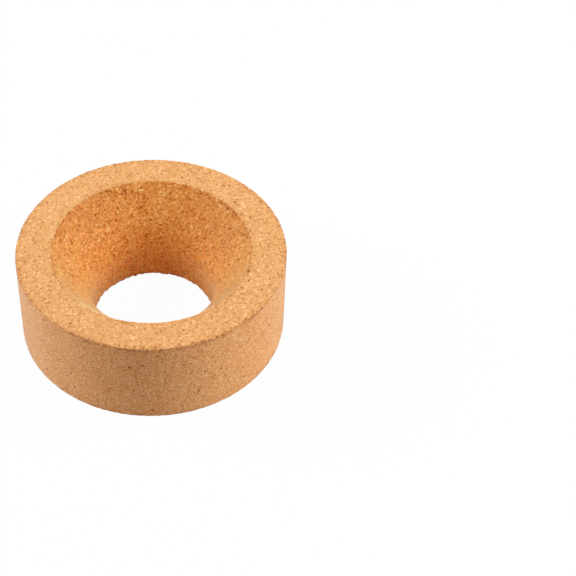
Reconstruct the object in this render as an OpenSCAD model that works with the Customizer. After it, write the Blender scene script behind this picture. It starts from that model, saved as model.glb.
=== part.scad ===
// Cork ring that holds a round-bottomed flask upright
//
// One piece of pressed cork granules, turned on a lathe: a plain outer wall, a flat
// base and rim, a straight bore through the base, and a bell-shaped seat that opens
// from the bore to a wide mouth in the rim.
//
// Millimetres, +Z up. The origin is on the ring's axis, in the plane of its base.
// Outlines are drawn in the plane of radius (across) and height (up), then turned.

/* [Body] */
// Outside diameter of the ring
body_d = 110; // [90:1:160]
// Height from the base to the rim
body_h = 40; // [30:1:80]

/* [Bore] */
// Diameter of the straight bore through the base
bore_d = 50; // [38:0.5:70]

/* [Seat] */
// Diameter of the seat's mouth in the rim
mouth_d = 81.5; // [64:0.5:96]
// Angle between the seat's flare and the ring's axis, in degrees
flare_angle = 38; // [27:1:65]
// Radius of the turned throat between the bore and the flare
throat_r = 22; // [2:1:50]

/* [Edges] */
// Rounding of the outer edge of the rim
rim_edge_r = 0.4; // [0.2:0.1:3]
// Rounding of the seat's mouth
mouth_edge_r = 0.8; // [0.2:0.1:3]
// Rounding of the outer edge of the base
base_edge_r = 0.4; // [0.2:0.1:3]
// Rounding of the bore's edge in the base
bore_edge_r = 0.5; // [0.2:0.1:2]

/* [Hidden] */
body_r = body_d / 2;
bore_r = bore_d / 2;
mouth_r = mouth_d / 2;

// The throat is an arc that leaves the bore upright and meets the flare at its slope.
flare_start_r = bore_r + throat_r * (1 - cos(flare_angle));
flare_start_h = body_h - (mouth_r - flare_start_r) / tan(flare_angle);
bore_h = flare_start_h - throat_r * sin(flare_angle);
throat_centre = [bore_r + throat_r, bore_h];

// Directions in the section, in degrees anticlockwise from straight outward
outward = 0;
upward = 90;
inward = 180;
downward = 270;
quarter_turn = 90;
full_turn = 360;

// How far the cutting outlines run past the faces that they cut
overcut = 1;
// Facets of the turned form and of the arcs in its outline, where they are drawn as a mesh
turn_facets = 180;
arc_facets = 96;

// A step of a given length in a given direction
function step(length, direction) = length * [cos(direction), sin(direction)];

// The disc that the ring is turned from
module blank_outline() {
    square([body_r, body_h]);
}

// What the drill takes out of the base, up to the level where the throat begins
module bore_cut() {
    translate([0, -overcut])
        square([bore_r, bore_h + overcut]);
}

// What the turning tool takes out of the seat: the flare's cone and the space under it
// down to the bore, less the round throat that the tool leaves standing.
module seat_cut() {
    flare_end = [mouth_r + overcut * tan(flare_angle), body_h + overcut];
    difference() {
        polygon([
            [0, bore_h],
            throat_centre,
            [flare_start_r, flare_start_h],
            flare_end,
            [0, body_h + overcut],
        ]);
        translate(throat_centre)
            circle(r = throat_r, $fn = arc_facets);
    }
}

// What sanding takes off a corner to round it. The cork fills the corner from the
// direction of its first face to that of its second, anticlockwise. The outline runs
// out square to both faces, past the cork.
module edge_cut(corner, first, second, r) {
    half_angle = (second - first) / 2;
    middle = first + half_angle;
    along_face = r / tan(half_angle);
    centre = corner + step(r / sin(half_angle), middle);
    difference() {
        polygon([
            centre,
            corner + step(along_face, first) + step(overcut, first - quarter_turn),
            corner - step(overcut / sin(half_angle), middle),
            corner + step(along_face, second) + step(overcut, second + quarter_turn),
        ]);
        translate(centre)
            circle(r = r, $fn = arc_facets);
    }
}

// The ring's section on one side of the axis
module ring_section() {
    difference() {
        blank_outline();
        bore_cut();
        seat_cut();
        edge_cut([body_r, body_h], inward, downward, rim_edge_r);
        edge_cut([mouth_r, body_h], downward - flare_angle, full_turn + outward, mouth_edge_r);
        edge_cut([body_r, 0], upward, inward, base_edge_r);
        edge_cut([bore_r, 0], outward, upward, bore_edge_r);
    }
}

module cork_ring() {
    color("sandybrown")
        rotate_extrude($fn = turn_facets)
            ring_section();
}

cork_ring();
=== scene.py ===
from math import acos, ceil, cos, pi, radians, sin, tan

import bpy
import numpy as np
from mathutils import Matrix, Vector


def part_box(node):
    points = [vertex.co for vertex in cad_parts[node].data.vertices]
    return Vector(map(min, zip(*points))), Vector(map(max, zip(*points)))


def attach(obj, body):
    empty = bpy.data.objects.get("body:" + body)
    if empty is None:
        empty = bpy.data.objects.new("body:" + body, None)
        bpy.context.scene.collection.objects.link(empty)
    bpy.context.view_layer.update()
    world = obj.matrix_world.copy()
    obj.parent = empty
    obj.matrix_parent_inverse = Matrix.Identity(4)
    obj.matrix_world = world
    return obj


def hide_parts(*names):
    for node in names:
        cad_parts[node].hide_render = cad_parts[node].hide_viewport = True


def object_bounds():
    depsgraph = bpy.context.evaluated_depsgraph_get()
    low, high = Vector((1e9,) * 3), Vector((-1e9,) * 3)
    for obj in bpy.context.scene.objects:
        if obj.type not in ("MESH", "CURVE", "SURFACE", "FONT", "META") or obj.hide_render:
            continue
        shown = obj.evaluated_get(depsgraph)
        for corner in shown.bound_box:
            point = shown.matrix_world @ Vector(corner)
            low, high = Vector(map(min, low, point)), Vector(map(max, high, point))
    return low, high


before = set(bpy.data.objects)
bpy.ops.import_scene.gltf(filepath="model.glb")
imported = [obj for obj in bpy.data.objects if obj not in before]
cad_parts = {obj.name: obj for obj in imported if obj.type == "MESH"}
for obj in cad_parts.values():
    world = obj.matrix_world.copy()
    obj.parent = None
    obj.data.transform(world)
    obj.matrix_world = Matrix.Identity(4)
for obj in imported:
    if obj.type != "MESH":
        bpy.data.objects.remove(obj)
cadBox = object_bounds()
mm = 0.001
ringNode = "cork_ring"
nodesInRow, nodeWide, nodeHigh = 10, 200, 300  # how the node editors show the trees
noiseMiddle = 0.5
print("frame loaded:", ", ".join(sorted(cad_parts)))


# nodes: a socket is linked, anything else becomes the input's own value
def plug(tree, socket, value):
    if isinstance(value, bpy.types.NodeSocket):
        tree.links.new(value, socket)
    else:
        socket.default_value = value


def addNode(tree, kind, feeds=None, **settings):
    node = tree.nodes.new(kind)
    count = len(tree.nodes)
    node.location = (count % nodesInRow * nodeWide, -(count // nodesInRow) * nodeHigh)
    for name, value in settings.items():
        setattr(node, name, value)
    for name, value in (feeds or {}).items():
        plug(tree, node.inputs[name], value)
    return node


def newTree(name, kind, inputs, outputs):
    tree = bpy.data.node_groups.new(name, kind)
    for side, sockets in (("INPUT", inputs), ("OUTPUT", outputs)):
        for label, socketType in sockets:
            tree.interface.new_socket(label, in_out=side, socket_type="NodeSocket" + socketType)
    entry = tree.nodes.new("NodeGroupInput")
    leave = tree.nodes.new("NodeGroupOutput")
    leave.location = ((nodesInRow + 1) * nodeWide, 0)
    return tree, entry.outputs, leave.inputs


def calc(tree, operation, first, second=0.0, third=0.0):
    return addNode(tree, "ShaderNodeMath", {0: first, 1: second, 2: third}, operation=operation).outputs[0]


def vectorCalc(tree, operation, first, second=(0.0, 0.0, 0.0)):
    return addNode(tree, "ShaderNodeVectorMath", {0: first, 1: second}, operation=operation).outputs[0]


def scaled(tree, vector, factor):
    node = addNode(tree, "ShaderNodeVectorMath", {0: vector, "Scale": factor}, operation="SCALE")
    return node.outputs[0]


def counted(tree, place, size):
    # a place counted in lengths of size, for a texture at scale 1
    return scaled(tree, place, calc(tree, "DIVIDE", 1.0, size))


def between(tree, value, start, end, low=0.0, high=1.0):
    # a smooth step from low to high as value goes from start to end
    feeds = {"Value": value, "From Min": start, "From Max": end, "To Min": low, "To Max": high}
    node = addNode(tree, "ShaderNodeMapRange", feeds, interpolation_type="SMOOTHSTEP")
    return node.outputs["Result"]


def blend(tree, share, low, high):
    return addNode(tree, "ShaderNodeMix", {0: share, 2: low, 3: high}, data_type="FLOAT").outputs[0]


def noise(tree, place, scale, detail):
    return addNode(tree, "ShaderNodeTexNoise", {"Vector": place, "Scale": scale, "Detail": detail}).outputs


def cells(tree, place, scale, feature="F1"):
    return addNode(tree, "ShaderNodeTexVoronoi", {"Vector": place, "Scale": scale}, feature=feature).outputs


def chances(tree, cell):
    # three draws from 0 to 1 that every cell has for itself, as X, Y and Z
    return addNode(tree, "ShaderNodeSeparateXYZ", {0: cell["Color"]}).outputs


# ring: one turned piece of agglomerated cork; its outside comes from the frame
ring = {
    "mouthRadius": 40.75 * mm,
    "boreRadius": 25.0 * mm,
    "flareAngle": radians(38),  # seat from the axis
    "edges": {
        # rounding of each corner of the section, and how easily granules break out there
        "base": (0.4 * mm, 0.3),
        "rim": (0.4 * mm, 0.45),
        "mouth": (0.8 * mm, 0.25),
        "throat": (22 * mm, 0.0),
        "bore": (0.5 * mm, 1.2),
    },
    "segments": 550,
    "rowStep": 0.8 * mm,
    "baseStep": 5 * mm,  # between rows on the base, which stays flat
    "edgeStep": 0.3 * mm,
    "leastArcRows": 4,
    "weld": 0.01 * mm,
    "edgeBand": 1.1 * mm,  # where rows lie at edgeStep, and where granules break out
    "wornBand": 2.6 * mm,  # where the edges are rubbed dark
    "relief": {"wall": 0.04 * mm, "rim": 0.05 * mm, "seat": 0.12 * mm, "base": 0.0},
    "reliefSize": 1.4 * mm,
    "chipSize": 1.3 * mm,
    "chipDepth": 0.5 * mm,
    "chipShare": 0.5,
    "tearSize": 5.0 * mm,
    "pitSpacing": 5.0 * mm,
    "pitRadius": 0.65 * mm,
    "pitDepth": 0.45 * mm,
    "stripGutter": 1.4 * mm,
}
zoneNames = ("wall", "rim", "seat", "base")


def sectionCorners(look):
    # the section's corners before they are rounded, each with the zone of the stretch that starts there
    low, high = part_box(ringNode)
    outer, height = min(high.x, high.y), high.z - low.z
    throatHeight = height - (look["mouthRadius"] - look["boreRadius"]) / tan(look["flareAngle"])
    places = {
        "base": (outer, 0.0, "wall"),
        "rim": (outer, height, "rim"),
        "mouth": (look["mouthRadius"], height, "seat"),
        "throat": (look["boreRadius"], throatHeight, "seat"),
        "bore": (look["boreRadius"], 0.0, "base"),
    }
    corners = []
    for name, (radius, level, zone) in places.items():
        rounding, crumble = look["edges"][name]
        at = Vector((radius, level))
        corners.append({"at": at, "zone": zone, "rounding": rounding, "crumble": crumble})
    return corners


def cornerArc(corners, i):
    # where a corner's arc starts and ends, the direction into it and how far it turns
    here = corners[i]["at"]
    before = (here - corners[i - 1]["at"]).normalized()
    after = (corners[(i + 1) % len(corners)]["at"] - here).normalized()
    turn = acos(before.dot(after)) * (1 if before.x * after.y - before.y * after.x > 0 else -1)
    reach = corners[i]["rounding"] * tan(abs(turn) / 2)
    return here - before * reach, here + after * reach, before, turn


def arcPoints(start, along, turn, rounding, pieces):
    side = Vector((-along.y, along.x)) * (1 if turn > 0 else -1)
    points = []
    for k in range(pieces + 1):
        angle = abs(turn) * k / pieces
        points.append(start + along * rounding * sin(angle) + side * rounding * (1 - cos(angle)))
    return points


def stretchSteps(length, look, zone):
    # places along a straight stretch, close together near each end, over at most a third of it
    band = min(look["edgeBand"], length / 3)
    fine = np.linspace(0, band, ceil(band / look["edgeStep"]) + 1)
    step = look["baseStep"] if zone == "base" else look["rowStep"]
    middle = np.linspace(band, length - band, ceil((length - 2 * band) / step) + 1)
    return np.concatenate([fine, middle[1:-1], length - fine[::-1]])


def ringOutline(look):
    # the closed section as points up the wall, in over the rim, down the seat and out along the base
    corners = sectionCorners(look)
    arcs = [cornerArc(corners, i) for i in range(len(corners))]
    points, zones = [], []
    for i, corner in enumerate(corners):
        start, end, along, turn = arcs[i]
        pieces = max(look["leastArcRows"], ceil(corner["rounding"] * abs(turn) / look["rowStep"]))
        arc = arcPoints(start, along, turn, corner["rounding"], pieces)
        stretch = arcs[(i + 1) % len(corners)][0] - end
        steps = stretchSteps(stretch.length, look, corner["zone"])
        straight = [end + stretch.normalized() * s for s in steps[1:-1]]
        points += arc + straight
        # the first half of an arc still belongs to the stretch before it
        zones += [corners[i - 1]["zone"]] * (pieces // 2)
        zones += [corner["zone"]] * (len(arc) - pieces // 2 + len(straight))
    # start half way round the first corner, so that each zone is one run of rows
    first = zones.index("wall")
    return points[first:] + points[:first], zones[first:] + zones[:first]


def edgeCrumble(point, corners, band):
    # 0 away from the edges, more where the corner is nearer and breaks more easily
    most = 0.0
    for corner in corners:
        distance = (point - corner["at"]).length
        most = max(most, corner["crumble"] * (1 - distance / band))
    return most


def outlineMesh(look):
    points, zones = ringOutline(look)
    corners = sectionCorners(look)
    mesh = bpy.data.meshes.new("ringOutline")
    mesh.from_pydata([(p.x, 0.0, p.y) for p in points], [], [])
    columns = {
        "zone": ("INT", [zoneNames.index(zone) for zone in zones]),
        "relief": ("FLOAT", [look["relief"][zone] for zone in zones]),
        "crumble": ("FLOAT", [edgeCrumble(p, corners, look["edgeBand"]) for p in points]),
        "worn": ("FLOAT", [edgeCrumble(p, corners, look["wornBand"]) for p in points]),
    }
    for name, (kind, values) in columns.items():
        mesh.attributes.new(name, kind, "POINT").data.foreach_set("value", values)
    print(f"ring section: {len(points)} points")
    return mesh


# the lathe: attributes and whole numbers in Geometry Nodes
def whole(tree, operation, first, second):
    return addNode(tree, "FunctionNodeIntegerMath", {0: first, 1: second}, operation=operation).outputs[0]


def named(tree, name, kind="FLOAT"):
    node = addNode(tree, "GeometryNodeInputNamedAttribute", {"Name": name}, data_type=kind)
    return node.outputs["Attribute"]


def store(tree, mesh, name, kind, domain, value):
    feeds = {"Geometry": mesh, "Name": name, "Value": value}
    node = addNode(tree, "GeometryNodeStoreNamedAttribute", feeds, data_type=kind, domain=domain)
    return node.outputs["Geometry"]


def turnOutline(tree, outline, segments, weld):
    # a grid with a column for each segment and a row for each outline point, rolled up round Z
    size = addNode(tree, "GeometryNodeAttributeDomainSize", {"Geometry": outline}, component="MESH")
    rows = size.outputs["Point Count"]
    columnPoints = whole(tree, "ADD", rows, 1)
    gridFeeds = {"Vertices X": whole(tree, "ADD", segments, 1), "Vertices Y": columnPoints}
    grid = addNode(tree, "GeometryNodeMeshGrid", gridFeeds)
    index = addNode(tree, "GeometryNodeInputIndex").outputs["Index"]
    column = whole(tree, "DIVIDE_FLOOR", index, columnPoints)
    row = whole(tree, "MODULO", whole(tree, "MODULO", index, columnPoints), rows)
    faceRow = whole(tree, "MODULO", index, rows)

    def fromOutline(value, at, kind):
        feeds = {"Geometry": outline, "Value": value, "Index": at}
        node = addNode(tree, "GeometryNodeSampleIndex", feeds, data_type=kind, domain="POINT")
        return node.outputs["Value"]

    body = store(tree, grid.outputs["Mesh"], "OFBake", "FLOAT2", "CORNER", grid.outputs["UV Map"])
    body = store(tree, body, "zone", "INT", "FACE", fromOutline(named(tree, "zone", "INT"), faceRow, "INT"))
    for name in ("relief", "crumble", "worn"):
        body = store(tree, body, name, "FLOAT", "POINT", fromOutline(named(tree, name), row, "FLOAT"))
    position = addNode(tree, "GeometryNodeInputPosition").outputs["Position"]
    angle = calc(tree, "DIVIDE", calc(tree, "MULTIPLY", column, 2 * pi), segments)
    turnFeeds = {"Vector": fromOutline(position, row, "FLOAT_VECTOR"), "Angle": angle}
    turned = addNode(tree, "ShaderNodeVectorRotate", turnFeeds, rotation_type="Z_AXIS").outputs["Vector"]
    placeFeeds = {"Geometry": body, "Position": turned}
    body = addNode(tree, "GeometryNodeSetPosition", placeFeeds).outputs["Geometry"]
    weldFeeds = {"Geometry": body, "Distance": weld}
    return addNode(tree, "GeometryNodeMergeByDistance", weldFeeds).outputs["Geometry"]


def edgeDepth(tree, place, given):
    # single granules chipped off along the edges, and longer tears where an edge is weakest
    chipLeast = 0.5  # of the chip depth
    tearStart, tearFull = 0.5, 0.65  # of the noise
    weakStart, weakFull = 0.5, 1.0  # of the crumble
    crumble = named(tree, "crumble")
    chance = chances(tree, cells(tree, counted(tree, place, given["Chip Size"]), scale=1.0))
    loose = calc(tree, "LESS_THAN", chance["X"], given["Chip Share"])
    chip = calc(tree, "MULTIPLY", loose, between(tree, chance["Y"], 0.0, 1.0, chipLeast, 1.0))
    chip = calc(tree, "MULTIPLY", calc(tree, "MULTIPLY", chip, given["Chip Depth"]), crumble)
    waves = noise(tree, counted(tree, place, given["Tear Size"]), scale=1.0, detail=1.0)["Fac"]
    tear = between(tree, waves, tearStart, tearFull, 0.0, given["Chip Depth"])
    tear = calc(tree, "MULTIPLY", tear, crumble)
    tear = calc(tree, "MULTIPLY", tear, between(tree, crumble, weakStart, weakFull))
    return calc(tree, "ADD", chip, tear)


def pitDepth(tree, place, given):
    # round holes left where a granule has dropped out, none of them in the base
    floorShare = 0.5  # of the pit's radius
    holes = cells(tree, counted(tree, place, given["Pit Spacing"]), scale=1.0)
    distance = calc(tree, "MULTIPLY", holes["Distance"], given["Pit Spacing"])
    floorRadius = calc(tree, "MULTIPLY", given["Pit Radius"], floorShare)
    pit = between(tree, distance, given["Pit Radius"], floorRadius)
    depth = calc(tree, "MULTIPLY", pit, given["Pit Depth"])
    return calc(tree, "MULTIPLY", depth, calc(tree, "GREATER_THAN", named(tree, "relief"), 0.0))


def reliefDepth(tree, place, given):
    # how far the granules stand back from the turned surface
    waveLow, waveHigh = 0.3, 0.7  # of the noise
    waves = noise(tree, counted(tree, place, given["Relief Size"]), scale=1.0, detail=2.0)["Fac"]
    return calc(tree, "MULTIPLY", named(tree, "relief"), between(tree, waves, waveLow, waveHigh))


def turningTree():
    # turns the outline round Z, sinks what granules leave open and gives each zone its finish
    inputs = [
        ("Outline", "Geometry"), ("Segments", "Int"), ("Weld", "Float"), ("Relief Size", "Float"),
        ("Chip Size", "Float"), ("Chip Depth", "Float"), ("Chip Share", "Float"), ("Tear Size", "Float"),
        ("Pit Spacing", "Float"), ("Pit Radius", "Float"), ("Pit Depth", "Float"),
        ("Wall Cork", "Material"), ("Rim Cork", "Material"), ("Seat Cork", "Material"),
    ]
    tree, given, result = newTree("turnedRing", "GeometryNodeTree", inputs, [("Ring", "Geometry")])
    body = turnOutline(tree, given["Outline"], given["Segments"], given["Weld"])
    place = addNode(tree, "GeometryNodeInputPosition").outputs["Position"]
    broken = calc(tree, "MAXIMUM", edgeDepth(tree, place, given), pitDepth(tree, place, given))
    body = store(tree, body, "broken", "FLOAT", "POINT", broken)
    depth = calc(tree, "ADD", reliefDepth(tree, place, given), named(tree, "broken"))
    outward = addNode(tree, "GeometryNodeInputNormal").outputs["Normal"]
    offset = scaled(tree, outward, calc(tree, "MULTIPLY", depth, -1.0))
    body = addNode(tree, "GeometryNodeSetPosition", {"Geometry": body, "Offset": offset}).outputs["Geometry"]
    body = addNode(tree, "GeometryNodeSetShadeSmooth", {"Geometry": body}).outputs["Geometry"]
    body = addNode(tree, "GeometryNodeRealizeInstances", {"Geometry": body}).outputs["Geometry"]
    finishes = {"wall": "Wall Cork", "rim": "Rim Cork", "seat": "Seat Cork", "base": "Rim Cork"}
    for zone, cork in finishes.items():
        zoneFeeds = {2: named(tree, "zone", "INT"), 3: zoneNames.index(zone)}
        here = addNode(tree, "FunctionNodeCompare", zoneFeeds, data_type="INT", operation="EQUAL")
        feeds = {"Geometry": body, "Selection": here.outputs["Result"], "Material": given[cork]}
        body = addNode(tree, "GeometryNodeSetMaterial", feeds).outputs["Geometry"]
    plug(tree, result["Ring"], body)
    return tree


def setInputs(modifier, values):
    for item in modifier.node_group.interface.items_tree:
        if item.in_out == "INPUT" and item.name in values:
            modifier[item.identifier] = values[item.name]


def layOutStrips(mesh, look):
    # the ring's faces unrolled into level strips on one square: wall and rim in two half turns each,
    # seat and base in one strip each, the base in what room is left
    points, zones = ringOutline(look)
    rows = len(points)
    gaps = [(points[(i + 1) % rows] - points[i]).length for i in range(rows)]
    along = np.concatenate([[0], np.cumsum(gaps)])
    page = pi * max(p.x for p in points)
    gutter = look["stripGutter"]
    strips = {"wall": 2, "rim": 2, "seat": 1, "base": 1}
    runs = {zone: (zones.index(zone), rows - zones[::-1].index(zone)) for zone in zoneNames}
    heights = {zone: along[last] - along[first] for zone, (first, last) in runs.items()}
    used = sum(heights[zone] * strips[zone] for zone in zoneNames if zone != "base")
    side = page + 2 * gutter
    heights["base"] = side - used - (sum(strips.values()) + 1) * gutter
    layer = mesh.uv_layers["OFBake"].data
    uv = np.empty(len(layer) * 2)
    layer.foreach_get("uv", uv)
    uv = uv.reshape(-1, 4, 2)  # every face has four corners
    turnAt = uv[:, :, 0]
    rowAt = np.rint(uv[:, :, 1] * rows).astype(int)
    faceRow = rowAt.min(1)
    laidOut = np.empty_like(uv)
    base = gutter
    for zone in zoneNames:
        first, last = runs[zone]
        share = heights[zone] / (along[last] - along[first])
        for strip in range(strips[zone]):
            here = (faceRow >= first) & (faceRow < last)
            here &= np.floor(turnAt.mean(1) * strips[zone]).astype(int) == strip
            laidOut[here, :, 0] = gutter + (turnAt[here] * strips[zone] - strip) * page
            laidOut[here, :, 1] = base + (along[rowAt[here]] - along[first]) * share
            base += heights[zone] + gutter
    layer.foreach_set("uv", (laidOut / side).ravel())


def makeRing(look, corks):
    blank = bpy.data.objects.new("corkRing", outlineMesh(look))
    bpy.context.scene.collection.objects.link(blank)
    lathe = blank.modifiers.new("turnedRing", "NODES")
    lathe.node_group = turningTree()
    setInputs(lathe, {
        "Segments": look["segments"], "Weld": look["weld"], "Relief Size": look["reliefSize"],
        "Chip Size": look["chipSize"], "Chip Depth": look["chipDepth"], "Chip Share": look["chipShare"],
        "Tear Size": look["tearSize"],
        "Pit Spacing": look["pitSpacing"], "Pit Radius": look["pitRadius"], "Pit Depth": look["pitDepth"],
        "Wall Cork": corks["wall"], "Rim Cork": corks["rim"], "Seat Cork": corks["seat"],
    })
    evaluated = blank.evaluated_get(bpy.context.evaluated_depsgraph_get())
    turned = bpy.data.meshes.new_from_object(evaluated)
    blank.modifiers.remove(lathe)
    blank.data = turned
    turned.name = "corkRing"
    turned.materials.pop(index=0)  # the grid's own empty slot
    layOutStrips(turned, look)
    print(f"ring: {len(turned.vertices)} points, {2 * len(turned.polygons)} triangles")
    return blank


# cork: three finishes of the same stock, the wall's and the seat's colours partly painted shade; lengths
# without a unit are in millimetres
displayGamma = 2.2
palest = 0.98  # of white, as it is seen
sandedRim = {
    "stock": (0.826, 0.428, 0.128),
    "shade": (0.030, 0.042, 0.052),  # what one tone darker takes off each channel as it is seen
    "granule": 0.85, "wobble": 0.5, "fleckSize": 0.40,
    # each cause of light and dark, in tones; the wear tones also paint shade into chips and pits
    "grain": 4.1, "fleck": 8.0, "mottle": 1.5, "seam": 0.8, "speck": 7.0, "wearAndPitShade": 5.0,
    "bump": 0.06 * mm, "roughness": 0.8, "grit": 1.0,
    "gloss": 1.0, "glossTint": (1, 1, 1, 1),
    "dust": 0.5, "dustSpread": 0.3, "dustTint": (1, 1, 1, 1),
}
turnedWallWithPaintedShade = dict(
    sandedRim,
    # painted shade: this stock is browner than the rim's, as the wall's face is lit less
    stock=(0.90, 0.412, 0.130), shade=(0.037, 0.044, 0.053),
    granule=0.5, fleckSize=0.32,
    grain=5.2, fleck=18.0, wearAndPitShade=7.0,
    glossTint=(0.6, 0.6, 0.6, 1),
)
reamedSeatWithPaintedShade = dict(
    sandedRim,
    # painted shade: this stock is more saturated than the rim's, as the hollow seat lies in shade
    stock=(0.845, 0.372, 0.067), shade=(0.030, 0.042, 0.050),
    bore=(0.93, 0.378, 0.050),  # a painted tint of the light deep in the bore: redder and less blue than the stock
    wobble=0.7,
    grain=6.4, fleck=8.2, seam=1.0,
    bump=0.1 * mm, roughness=0.7,
    glossTint=(0.3, 0.3, 0.3, 1),
    dust=1.0, dustSpread=0.4, dustTint=(1.0, 0.93, 0.65, 1),
)

# what all three finishes share: how the granules are pressed together, how the cork's face wears, with
# painted shade in its chips and pits, and the painted tint deep in the bore
pressing = {
    "swirlScale": 1.3,  # waves to a granule in the noise that bends its outline
    "smallScale": 1.9,  # small granules across a big one
    "wholeShare": 0.5,  # how many of the big granules are whole and not split into small ones
    "toneEven": 0.35,  # how much of a granule's tone goes with its draw
    "toneTail": 0.65,  # and with the draw's cube, so that a few are much darker or paler
    "paleCut": 0.25,  # how much less the pale ones differ
    "seamWidth": 0.10,
    "smallSeamWidth": 0.12,
    "barkScale": 0.36,
    "barkDraw": 0.45,  # a cell whose draw is lower has no bark
    "barkRadius": 0.22,
    "barkCore": 0.6,
    "crumbDraw": 0.62,  # a small granule whose draw is lower doesn't darken where it is worn
}
sharedFinish = {
    "mottleScale": 0.12,
    "patchScale": 0.16,
    "edgeFull": 0.35,  # value of worn from which an edge is fully rubbed
    "patchSpan": (0.42, 0.56),  # of the noise, where rubbed patches set in
    "patchLeast": 0.15,  # how much an edge is rubbed between the patches
    "pitShadeSpan": (0.05 * mm, 0.3 * mm),  # depth at which painted shade in chips and pits starts, and is darkest
    "paintedBoreTintSpan": (28.0, 8.0),  # heights between which the stock's colour turns to the bore's, a painted tint of the light deep in the bore
    "seamMiddle": 0.2,  # taken off the seams' mask, so that they don't darken the cork as a whole
    "fleckRelief": 0.4,  # how far the flecks' noise raises the bump
    "toneRelief": 0.1,  # how far each darker tone sinks it
}


def granuleGroup(look):
    # granules of two sizes pressed together; Place is in millimetres
    inputs = [("Place", "Vector"), ("Granule", "Float"), ("Wobble", "Float")]
    outputs = [("Tone", "Float"), ("Seam", "Float"), ("Speck", "Float"), ("Crumb", "Float")]
    tree, given, result = newTree("corkGranules", "ShaderNodeTree", inputs, outputs)
    place = counted(tree, given["Place"], given["Granule"])
    swirl = noise(tree, place, look["swirlScale"], detail=2.0)["Color"]
    shift = vectorCalc(tree, "SUBTRACT", swirl, (noiseMiddle,) * 3)
    shift = scaled(tree, shift, given["Wobble"])
    place = vectorCalc(tree, "ADD", place, shift)
    bigChance = chances(tree, cells(tree, place, scale=1.0))
    smallChance = chances(tree, cells(tree, place, look["smallScale"]))
    crumbled = calc(tree, "GREATER_THAN", bigChance["Y"], look["wholeShare"])

    # most granules are near the middle tone, a few much darker, fewer much paler
    draw = blend(tree, crumbled, bigChance["X"], smallChance["X"])
    draw = calc(tree, "MULTIPLY_ADD", draw, 2.0, -1.0)  # from -1 to 1
    tail = calc(tree, "MULTIPLY_ADD", calc(tree, "POWER", draw, 2.0), look["toneTail"], look["toneEven"])
    tone = calc(tree, "MULTIPLY", draw, tail)
    lessPale = calc(tree, "MULTIPLY", calc(tree, "MINIMUM", tone, 0.0), -look["paleCut"])
    plug(tree, result["Tone"], calc(tree, "ADD", tone, lessPale))

    bigEdge = cells(tree, place, scale=1.0, feature="DISTANCE_TO_EDGE")["Distance"]
    smallEdge = cells(tree, place, look["smallScale"], feature="DISTANCE_TO_EDGE")["Distance"]
    bigSeam = between(tree, bigEdge, look["seamWidth"], 0.0)
    smallSeam = calc(tree, "MULTIPLY", between(tree, smallEdge, look["smallSeamWidth"], 0.0), crumbled)
    plug(tree, result["Seam"], calc(tree, "MAXIMUM", bigSeam, smallSeam))

    # a few dark bits of bark, each in a cell of its own
    bark = cells(tree, place, look["barkScale"])
    radius = between(tree, chances(tree, bark)["X"], look["barkDraw"], 1.0, 0.0, look["barkRadius"])
    core = calc(tree, "MULTIPLY", radius, look["barkCore"])
    plug(tree, result["Speck"], between(tree, bark["Distance"], radius, core))
    plug(tree, result["Crumb"], calc(tree, "GREATER_THAN", smallChance["Z"], look["crumbDraw"]))
    return tree


def wornCorkAndPitShade(tree, place, crumb):
    # 1 where an edge is rubbed, in patches, and painted shade where the cork is broken open, darker the
    # deeper the chip or pit
    edge = addNode(tree, "ShaderNodeAttribute", attribute_name="worn").outputs["Fac"]
    patches = noise(tree, place, sharedFinish["patchScale"], detail=1.0)["Fac"]
    rubbed = calc(tree, "MULTIPLY", between(tree, edge, 0.0, sharedFinish["edgeFull"]), crumb)
    patchShare = between(tree, patches, *sharedFinish["patchSpan"], sharedFinish["patchLeast"], 1.0)
    rubbed = calc(tree, "MULTIPLY", rubbed, patchShare)
    broken = addNode(tree, "ShaderNodeAttribute", attribute_name="broken").outputs["Fac"]
    return calc(tree, "MAXIMUM", rubbed, between(tree, broken, *sharedFinish["pitShadeSpan"]))


def tonesDarker(tree, place, grains, fleck, look):
    # how many tones darker than its stock the cork is at each place, from every cause
    mottle = noise(tree, place, sharedFinish["mottleScale"], detail=2.0)["Fac"]
    causes = [
        ("fleck", fleck, noiseMiddle),
        ("seam", grains["Seam"], sharedFinish["seamMiddle"]),
        ("mottle", mottle, noiseMiddle),
        ("speck", grains["Speck"], 0.0),
        # wear: rubbed edges, and painted shade in chips and pits
        ("wearAndPitShade", wornCorkAndPitShade(tree, place, grains["Crumb"]), 0.0),
    ]
    darker = calc(tree, "MULTIPLY", grains["Tone"], look["grain"])
    for name, value, middle in causes:
        tones = calc(tree, "MULTIPLY", calc(tree, "SUBTRACT", value, middle), look[name])
        darker = calc(tree, "ADD", darker, tones)
    return darker


def shadedStock(tree, place, darker, look):
    # tones are taken off the colour as it is seen, so that pale and dark granules keep the stock's hue
    height = addNode(tree, "ShaderNodeSeparateXYZ", {0: place}).outputs["Z"]
    # painted tint of the light deep in the bore, growing towards the bottom
    paintedBoreTint = between(tree, height, *sharedFinish["paintedBoreTintSpan"])
    bore = look.get("bore", look["stock"])
    stockFeeds = {0: paintedBoreTint, 6: (*look["stock"], 1), 7: (*bore, 1)}
    stock = addNode(tree, "ShaderNodeMix", stockFeeds, data_type="RGBA").outputs[2]
    steps = addNode(tree, "ShaderNodeCombineXYZ", {0: darker, 1: darker, 2: darker}).outputs[0]
    seen = vectorCalc(tree, "POWER", stock, (1 / displayGamma,) * 3)
    seen = vectorCalc(tree, "SUBTRACT", seen, vectorCalc(tree, "MULTIPLY", steps, look["shade"]))
    seen = vectorCalc(tree, "MAXIMUM", seen, (0.0, 0.0, 0.0))
    seen = vectorCalc(tree, "MINIMUM", seen, (palest,) * 3)
    return vectorCalc(tree, "POWER", seen, (displayGamma,) * 3)


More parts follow.
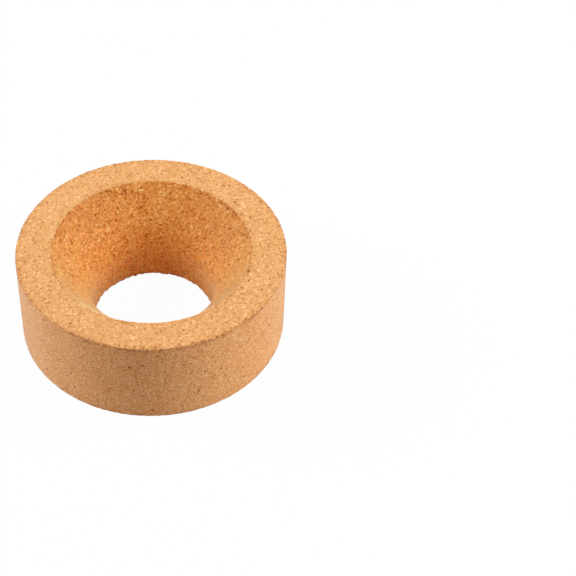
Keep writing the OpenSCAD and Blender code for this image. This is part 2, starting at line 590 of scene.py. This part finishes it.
def corkMaterial(name, look, granules):
    cork = bpy.data.materials.new(name)
    cork.use_nodes = True
    tree = cork.node_tree
    shader = tree.nodes["Principled BSDF"]
    place = scaled(tree, addNode(tree, "ShaderNodeTexCoord").outputs["Object"], 1 / mm)
    feeds = {"Place": place, "Granule": look["granule"], "Wobble": look["wobble"]}
    grains = addNode(tree, "ShaderNodeGroup", feeds, node_tree=granules).outputs
    fleck = noise(tree, place, 1 / look["fleckSize"], detail=3.0)["Fac"]
    darker = tonesDarker(tree, place, grains, fleck, look)
    plug(tree, shader.inputs["Base Color"], shadedStock(tree, place, darker, look))
    shader.inputs["Roughness"].default_value = look["roughness"]
    shader.inputs["Diffuse Roughness"].default_value = look["grit"]
    shader.inputs["Specular IOR Level"].default_value = look["gloss"]
    shader.inputs["Specular Tint"].default_value = look["glossTint"]
    shader.inputs["Sheen Weight"].default_value = look["dust"]
    shader.inputs["Sheen Roughness"].default_value = look["dustSpread"]
    shader.inputs["Sheen Tint"].default_value = look["dustTint"]
    raised = calc(tree, "MULTIPLY", fleck, sharedFinish["fleckRelief"])
    relief = calc(tree, "SUBTRACT", raised, calc(tree, "MULTIPLY", darker, sharedFinish["toneRelief"]))
    bump = addNode(tree, "ShaderNodeBump", {"Height": relief, "Distance": look["bump"], "Strength": 1.0})
    plug(tree, shader.inputs["Normal"], bump.outputs["Normal"])
    return cork


granules = granuleGroup(pressing)
corks = {
    "rim": corkMaterial("corkSandedRim", sandedRim, granules),
    # the wall's and the seat's stock colours are partly painted shade
    "wall": corkMaterial("corkTurnedWallPaintedShade", turnedWallWithPaintedShade, granules),
    "seat": corkMaterial("corkReamedSeatPaintedShade", reamedSeatWithPaintedShade, granules),
}
print("cork finishes made:", ", ".join(sorted(corks)))
corkRing = makeRing(ring, corks)
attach(corkRing, "root")
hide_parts(ringNode)

# studio: a pale floor, two soft side lights and an even white surround
studio = {
    "surround": 0.39,  # level that the surround alone gives a surface that sees all of it
    "floorSize": 6.0,
    "floorPaint": 0.5,  # what the floor throws back on the ring
    "floorSeen": 0.85,  # the same where it is looked at
    "floorShade": 0.03,  # how much of the shadow on the floor shows
    "lamps": {
        # azimuth from +X, elevation, distance, width, level on a surface that faces it
        "leftLight": (168, 30, 1.2, 0.6, 0.82),
        "rightLight": (-2, 30, 1.2, 0.6, 0.875),
    },
}


def whiteToCamera(tree):
    path = addNode(tree, "ShaderNodeLightPath").outputs
    seen = calc(tree, "MAXIMUM", path["Is Camera Ray"], path["Is Glossy Ray"])
    return calc(tree, "MAXIMUM", seen, path["Is Transmission Ray"])


def makeFloor(look):
    half = look["floorSize"] / 2
    corners = [(-half, -half, 0), (half, -half, 0), (half, half, 0), (-half, half, 0)]
    mesh = bpy.data.meshes.new("paleFloor")
    mesh.from_pydata(corners, [], [(0, 1, 2, 3)])
    floor = bpy.data.objects.new("paleFloor", mesh)
    bpy.context.scene.collection.objects.link(floor)
    paint = bpy.data.materials.new("paleFloor")
    paint.use_nodes = True
    tree = paint.node_tree
    tree.nodes.remove(tree.nodes["Principled BSDF"])
    seen = whiteToCamera(tree)
    paintLevel = blend(tree, seen, look["floorPaint"], look["floorSeen"])
    matt = addNode(tree, "ShaderNodeBsdfDiffuse", {"Color": paintLevel})
    white = addNode(tree, "ShaderNodeEmission", {"Strength": 1.0})
    share = calc(tree, "MULTIPLY", seen, 1 - look["floorShade"])
    mix = addNode(tree, "ShaderNodeMixShader", {0: share, 1: matt.outputs[0], 2: white.outputs[0]})
    plug(tree, tree.nodes["Material Output"].inputs["Surface"], mix.outputs[0])
    mesh.materials.append(paint)


def makeSurround(look):
    world = bpy.data.worlds.new("surround")
    world.use_nodes = True
    bpy.context.scene.world = world
    tree = world.node_tree
    background = tree.nodes["Background"]
    background.inputs["Color"].default_value = (1, 1, 1, 1)
    plug(tree, background.inputs["Strength"], blend(tree, whiteToCamera(tree), look["surround"], 1.0))


def makeLamps(look):
    for name, (azimuth, elevation, distance, width, level) in look["lamps"].items():
        lamp = bpy.data.lights.new(name, "AREA")
        lamp.size = width
        lamp.energy = level * (pi * distance) ** 2
        holder = bpy.data.objects.new(name, lamp)
        bpy.context.scene.collection.objects.link(holder)
        turn, rise = radians(azimuth), radians(elevation)
        away = Vector((cos(turn) * cos(rise), sin(turn) * cos(rise), sin(rise)))
        holder.location = away * distance
        holder.rotation_euler = away.to_track_quat("Z", "Y").to_euler()
        holder.visible_camera = False


# camera: looks down over the ring, with the ring to the left of the middle
viewpoint = {
    "elevation": radians(45.80),
    "distance": 667.0 * mm,
    "aim": (55.92 * mm, -5.33 * mm),
    "roll": radians(3.08),
    "lens": 100.0,
    "sensor": 36.0,
}


def makeCamera(look):
    low, high = cadBox
    middle = (low.z + high.z) / 2
    data = bpy.data.cameras.new("viewpoint")
    data.lens = look["lens"]
    data.sensor_width = look["sensor"]
    camera = bpy.data.objects.new("viewpoint", data)
    bpy.context.scene.collection.objects.link(camera)
    place = Vector((0, -cos(look["elevation"]), sin(look["elevation"]))) * look["distance"]
    place.z += middle
    aim = Vector((*look["aim"], middle))
    facing = (place - aim).to_track_quat("Z", "Y").to_matrix() @ Matrix.Rotation(look["roll"], 3, "Z")
    camera.location = place
    camera.rotation_euler = facing.to_euler()
    bpy.context.scene.camera = camera


makeFloor(studio)
makeSurround(studio)
makeLamps(studio)
makeCamera(viewpoint)
bpy.context.scene.view_settings.view_transform = "Standard"
print("studio and camera set")
